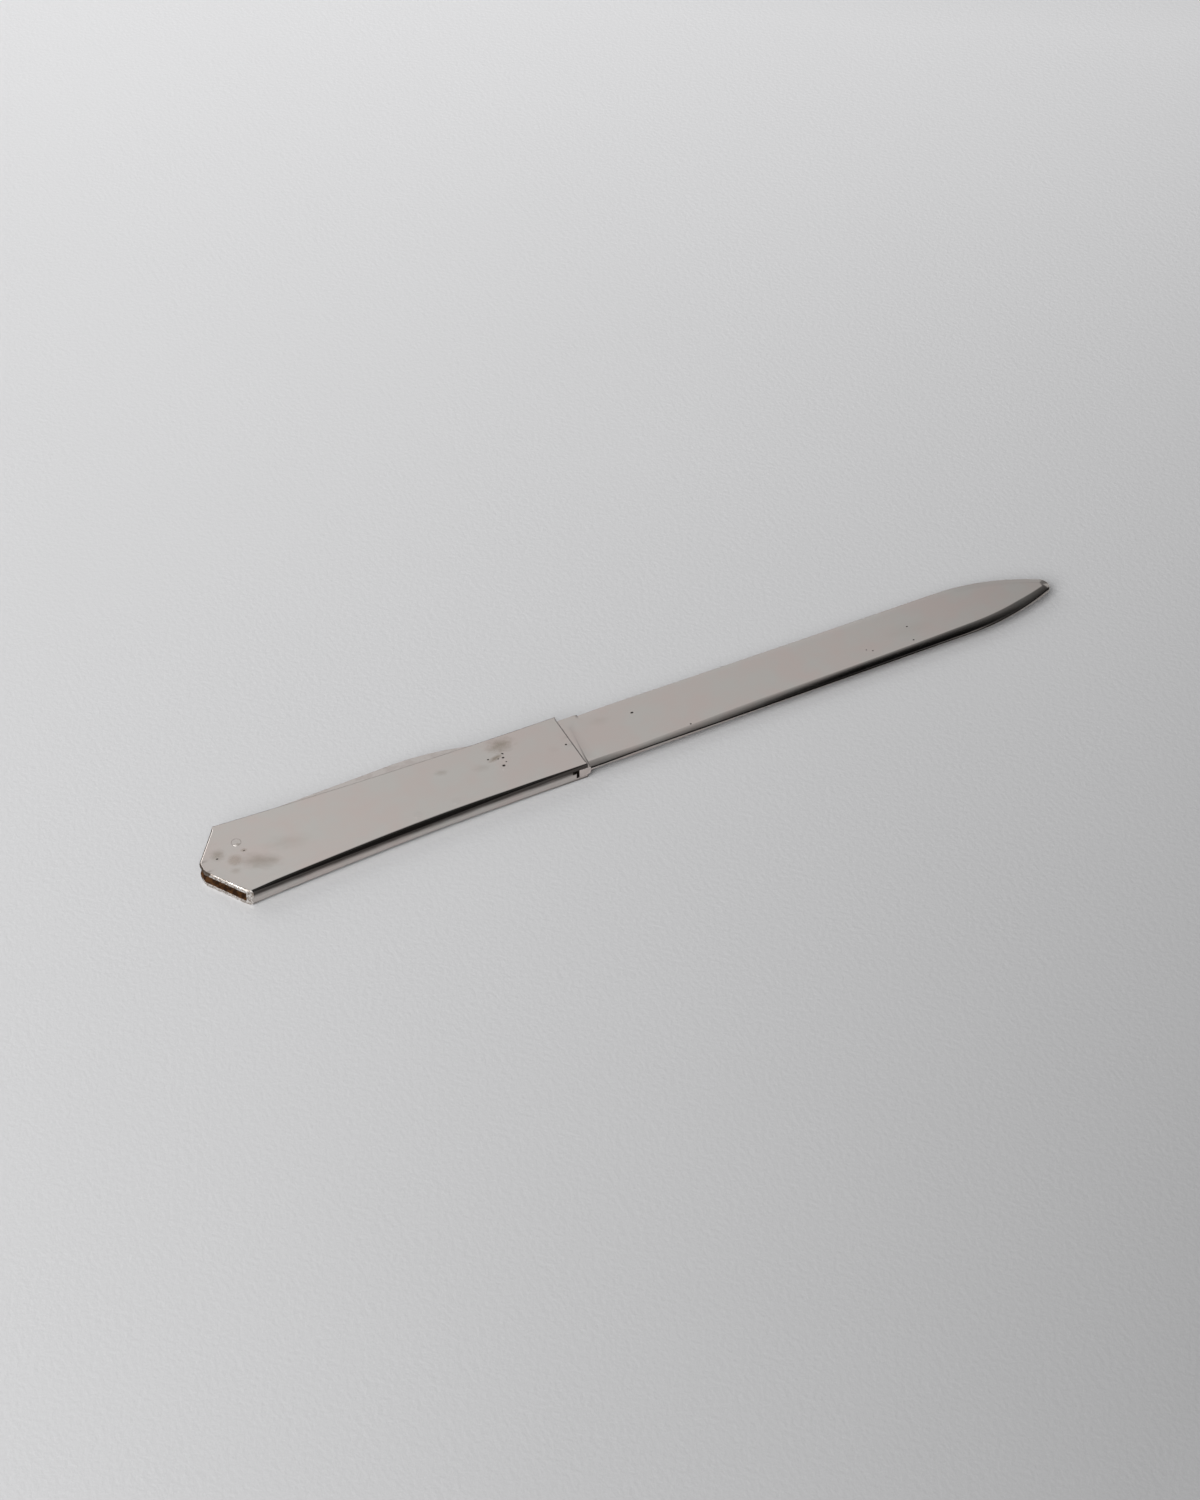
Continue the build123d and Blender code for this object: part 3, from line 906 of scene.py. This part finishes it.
def blade_side(side):
    """One side from the root to the point, -1 near or 1 far, as steps of (x, y, turn, side)."""
    half = half_blade - side * tip_y
    ogive_radius = (arc_length**2 + half**2 - tip_radius**2) / (2 * (half - tip_radius))
    lean = math.atan2(arc_length, ogive_radius - half)
    steps = []
    for share in np.linspace(0, 1, 40)[:-1]:
        x = root_x + share * (ogive_x - root_x)
        steps.append((x, side * (half_root + share * (half_blade - half_root)), 0.0, side))
    for turn in np.linspace(0, lean, 26)[:-1]:
        from_middle = half - ogive_radius * (1 - math.cos(turn))
        steps.append((ogive_x + ogive_radius * math.sin(turn), tip_y + side * from_middle, turn, side))
    for turn in np.linspace(lean, math.pi / 2, 14):
        x = tip_x - tip_radius * (1 - math.sin(turn))
        steps.append((x, tip_y + side * tip_radius * math.cos(turn), turn, side))
    return steps


outline = blade_side(-1) + blade_side(1)[-2::-1]
print("blade outline:", len(outline), "points, tip at", round(tip_x, 1))


# %% Bevel that changes along the blade
def bevel_at(x):
    """Width, upper and lower slope in degrees, and edge roundness of the bevel at x."""
    places = [43.3, 48, 56, 66, 76, 88, 100, 112, 128, 143, 158, 167.7]
    width = np.interp(x, places, [1.9, 1.9, 1.6, 1.8, 2.1, 2.3, 2.3, 2.3, 2.4, 2.7, 2.5, 1.8])
    upper = np.interp(x, places, [13.5, 13.5, 10.5, 11, 11.5, 11, 10.5, 10.5, 11, 13, 12, 11])
    lower = np.interp(x, places, [16.5, 16.5, 16.5, 16.5, 16.5, 18.5, 21, 24.5, 24, 21.5, 16, 15])
    edge = np.interp(x, places, [0.28, 0.28, 0.2, 0.22, 0.25, 0.3, 0.42, 0.45, 0.45, 0.42, 0.42, 0.4])
    return width, math.radians(upper), math.radians(lower), edge


def bevel_profile(x):
    """Steps of (distance in from the outline, height over the blade's middle) from the flat to the edge."""
    width, upper, lower, edge = bevel_at(x)
    thinnest = 0.12
    run = width - edge
    fall = run * (math.tan(upper) + math.tan(lower)) / 2
    ease = min(1.0, (half_thick - thinnest) / fall)
    steps = []
    for share in np.linspace(0, 1, 9):
        drop = ease * run * (math.tan(upper) * share + (math.tan(lower) - math.tan(upper)) * share**2 / 2)
        steps.append((width - run * share, half_thick - drop))
    shoulder = steps[-1][1]
    start = math.atan(edge * ease * math.tan(lower) / shoulder)
    for turn in np.linspace(start, math.pi / 2, 9)[1:]:
        along = (math.sin(turn) - math.sin(start)) / (1 - math.sin(start))
        steps.append((edge * (1 - along), shoulder * math.cos(turn) / math.cos(start)))
    return steps


# %% Blade mesh
columns = []
for x, y, turn, side in outline:
    out_x, out_y = math.sin(turn), side * math.cos(turn)
    upper_half = bevel_profile(x)
    profile = upper_half + [(inset, -rise) for inset, rise in upper_half[-2::-1]]
    columns.append([(x - out_x * inset, y - out_y * inset, blade_middle + rise) for inset, rise in profile])
rows = len(columns[0])
blade_points = sum(columns, [])
blade_faces = ring_faces(len(columns), rows, closed=False)
last = len(columns) - 1
for row in (0, rows - 1):
    for i in range(last // 2):
        ring = [i, i + 1, last - i - 1, last - i]
        blade_faces.append(tuple(dict.fromkeys(k * rows + row for k in ring)))
blade_faces.append(tuple(range(rows)) + tuple(last * rows + j for j in range(rows - 1, -1, -1)))
letter_blade = new_piece("letter_blade_polished", blade_points, blade_faces, [plated_blade, recess_shade_black])
print("letter blade:", len(letter_blade.data.polygons), "faces")

# %% [markdown]
# ## Shoulder and tang
# Behind the blade the bar is thicker: a shoulder that stands out of the handle in a slanted step, with an
# ear on the far side, and a tang riveted between the cheeks. It is drawn as a plan and raised to full
# height, with its front drawn back at the top so that it ramps down on to the blade.

# %% Plan of shoulder and tang
tang_x, step_x, tang_far, step_round = front_x - 22.5, front_x - 7.5, 2.2, 2
ear_x, ear_far, ear_front = window_x + 0.7, half_front - 0.5, front_x + 5.2
tang_inset = sheet + inner_fold + 0.05
near_wall = [(x, -(half_width(x) - tang_inset)) for x in np.linspace(tang_x, ear_x, 9)]
front_line = [(front_x + 0.6, -half_front), (front_x + 2.1, 4.6)]
front_line += [(ear_front, ear_far - 1.9), (ear_front, ear_far)]
step_corner = []
for turn in np.radians([90, 67.5, 45, 22.5, 0]):
    x = step_x - step_round + step_round * math.sin(turn)
    step_corner.append((x, tang_far + step_round - step_round * math.cos(turn)))
plan = near_wall + [(ear_x, -half_front)] + front_line
plan += [(step_x, ear_far)] + step_corner + [(tang_x, tang_far)]
front_start = len(near_wall) + 1
print("shoulder plan:", len(plan), "points")


# %% Ramp at the shoulder's front
def meet(first, second):
    """Where two lines, each a point and a direction, cross."""
    (px, py), (dx, dy) = first
    (qx, qy), (ex, ey) = second
    share = ((qx - px) * ey - (qy - py) * ex) / (dx * ey - dy * ex)
    return px + dx * share, py + dy * share


def drawn_back(points, amount):
    """A line of points moved back by an amount, with its ends kept on their side lines."""
    lines = [(points[0], (1.0, 0.0))]
    for (ax, ay), (bx, by) in zip(points, points[1:]):
        length = math.hypot(bx - ax, by - ay)
        out_x, out_y = (by - ay) / length, -(bx - ax) / length
        lines.append(((ax - out_x * amount, ay - out_y * amount), (bx - ax, by - ay)))
    lines.append((points[-1], (1.0, 0.0)))
    return [meet(first, second) for first, second in zip(lines, lines[1:])]


ramp_line = drawn_back(front_line, 0.9)
print("ramp starts at", [round(x, 2) for x, y in ramp_line])

# %% Shoulder mesh, joined to the blade
ramp_foot = half_thick - 0.01
levels = [(-height / 2 + sheet, True), (-ramp_foot, False), (ramp_foot, False), (height / 2 - sheet, True)]
tang_points = []
for rise, at_face in levels:
    ring = list(plan)
    if at_face:
        ring[front_start:front_start + len(ramp_line)] = ramp_line
    tang_points += [(x, y, blade_middle + rise) for x, y in ring]
size = len(plan)
tang_faces = [tuple(range(size))[::-1], tuple(range(3 * size, 4 * size))]
tang_faces += ring_faces(len(levels), size)
wall_count = len(near_wall)
# The tang's near side, seen only through the slot, is near-black painted shade.
ring_finish = [INSIDE] * wall_count + [PLATED] * (size - wall_count)
tang_finish = [PLATED] * 2 + ring_finish * (len(levels) - 1)
tang = new_piece("tang", tang_points, tang_faces, [plated_blade, recess_shade_black], tang_finish)
combine(letter_blade, [tang], "UNION")
combine(letter_blade, pin_holes(["tang_rivet_rear", "tang_rivet_front"], "_tang_hole"), "DIFFERENCE")
break_edges(letter_blade, 0.05, 50)
smooth_metal(letter_blade)
print("letter blade with tang:", len(letter_blade.data.polygons), "faces")

# %% [markdown]
# ## Pen blade and back spring
# These two keep their CAD shape exactly, since the hinge and its stop depend on it. A CAD mesh is loose
# triangles with knife-sharp corners, so a copy is merged, its flat faces are joined up, and a small bevel
# breaks the edges.


# %% Pieces made from their CAD nodes
def dressed_copy(node, name, finish, edge_mm):
    """A merged copy of a CAD node with broken edges and its finish."""
    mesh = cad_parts[node].data.copy()
    mesh.name = name
    mesh.materials.clear()
    mesh.materials.append(finish)
    work = bmesh.new()
    work.from_mesh(mesh)
    bmesh.ops.remove_doubles(work, verts=work.verts, dist=1e-6)
    bmesh.ops.dissolve_limit(work, angle_limit=math.radians(0.5), verts=work.verts, edges=work.edges)
    for face in work.faces:
        face.material_index = 0
    work.to_mesh(mesh)
    work.free()
    piece = put(name, mesh)
    break_edges(piece, edge_mm, 35)
    smooth_metal(piece)
    return piece


pen_blade = dressed_copy("pen_blade", "pen_blade_ground", pen_steel, 0.06)
back_spring = dressed_copy("back_spring", "back_spring_dull", spring_steel, 0.05)
print("dressed from CAD:", pen_blade.name, back_spring.name)

# %% [markdown]
# ## Rivets and pivot pin
# Five round pins go through both cheeks and are filed flush. They are one shape repeated at given places,
# which is what Geometry Nodes are for: the tree makes a pin with broken ends, puts one on every point, and
# realises them.

# %% Geometry Nodes tree for flush pins
pin_inputs = {"Geometry": "Geometry", "Radius": "Float", "Length": "Float", "Broken Edge": "Float"}
pin_inputs.update({"Sides": "Int", "Finish": "Material"})
pin_tree, given = new_group("flush_pins", pin_inputs, {"Geometry": "Geometry"}, "GeometryNodeTree")
both_edges = times(pin_tree, given["Broken Edge"], 2.0)
shank_length = minus(pin_tree, given["Length"], both_edges)
inputs = {"Vertices": given["Sides"], "Radius": given["Radius"], "Depth": shank_length}
shank = add_node(pin_tree, "GeometryNodeMeshCylinder", inputs)
end_radius = minus(pin_tree, given["Radius"], given["Broken Edge"])
end_scale = divide(pin_tree, end_radius, given["Radius"])
solid = shank.outputs["Mesh"]
for end in ("Top", "Bottom"):
    inputs = {"Mesh": solid, "Selection": shank.outputs[end], "Offset Scale": given["Broken Edge"]}
    drawn = add_node(pin_tree, "GeometryNodeExtrudeMesh", inputs).outputs
    inputs = {"Geometry": drawn["Mesh"], "Selection": drawn["Top"], "Scale": end_scale}
    solid = add_node(pin_tree, "GeometryNodeScaleElements", inputs).outputs["Geometry"]
inputs = {"Points": given["Geometry"], "Instance": solid}
on_points = add_node(pin_tree, "GeometryNodeInstanceOnPoints", inputs)
real = add_node(pin_tree, "GeometryNodeRealizeInstances", {"Geometry": on_points.outputs[0]})
inputs = {"Geometry": real.outputs[0], "Material": given["Finish"]}
coloured = add_node(pin_tree, "GeometryNodeSetMaterial", inputs)
end_group(pin_tree, {"Geometry": coloured.outputs[0]})
pin_sockets = {item.name: item.identifier for item in pin_tree.interface.items_tree if item.in_out == "INPUT"}


# %% Pins at their CAD places
def flush_pins(name, nodes, broken_edge):
    """Pins at the places of CAD nodes, as one plain mesh."""
    places = [pin_place(node) for node in nodes]
    mesh = bpy.data.meshes.new(name)
    mesh.from_pydata([(x * MM, y * MM, height / 2 * MM) for x, y, radius in places], [], [])
    piece = put(name, mesh)
    maker = piece.modifiers.new("flush_pins", "NODES")
    maker.node_group = pin_tree
    sizes_mm = {"Radius": places[0][2], "Length": height, "Broken Edge": broken_edge}
    for label, value in sizes_mm.items():
        maker[pin_sockets[label]] = value * MM
    maker[pin_sockets["Sides"]] = 48
    maker[pin_sockets["Finish"]] = pin_metal
    bake_modifiers(piece)
    smooth_metal(piece, 30)
    return piece


rivets = flush_pins("flush_rivets", rivet_nodes, 0.002)
pivot_pin = flush_pins("pen_pivot", ["pen_pivot_pin"], 0.03)
print("pins:", rivets.name, pivot_pin.name)

# %% [markdown]
# ## Hand over to the frame
# Each piece is parented to the moving body it belongs to, and the CAD nodes it stands for are hidden,
# so that poses and later scenes can use it.

# %% Bodies, nodes and slots
dressing = [
    (handle_shell, "handle", ["handle_shell"], "plated_handle"),
    (letter_blade, "handle", ["letter_blade"], "plated_blade"),
    (back_spring, "handle", ["back_spring"], "spring_steel"),
    (rivets, "handle", rivet_nodes, "pin_metal"),
    (pivot_pin, "handle", ["pen_pivot_pin"], "pin_metal"),
    (pen_blade, "folding_blade", ["pen_blade"], "pen_steel"),
]
for piece, body, nodes, slot in dressing:
    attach(piece, body)
    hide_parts(*nodes)
print("pieces:", [piece.name for piece, *_ in dressing])

# %% View settings
scene.view_settings.view_transform = "Standard"
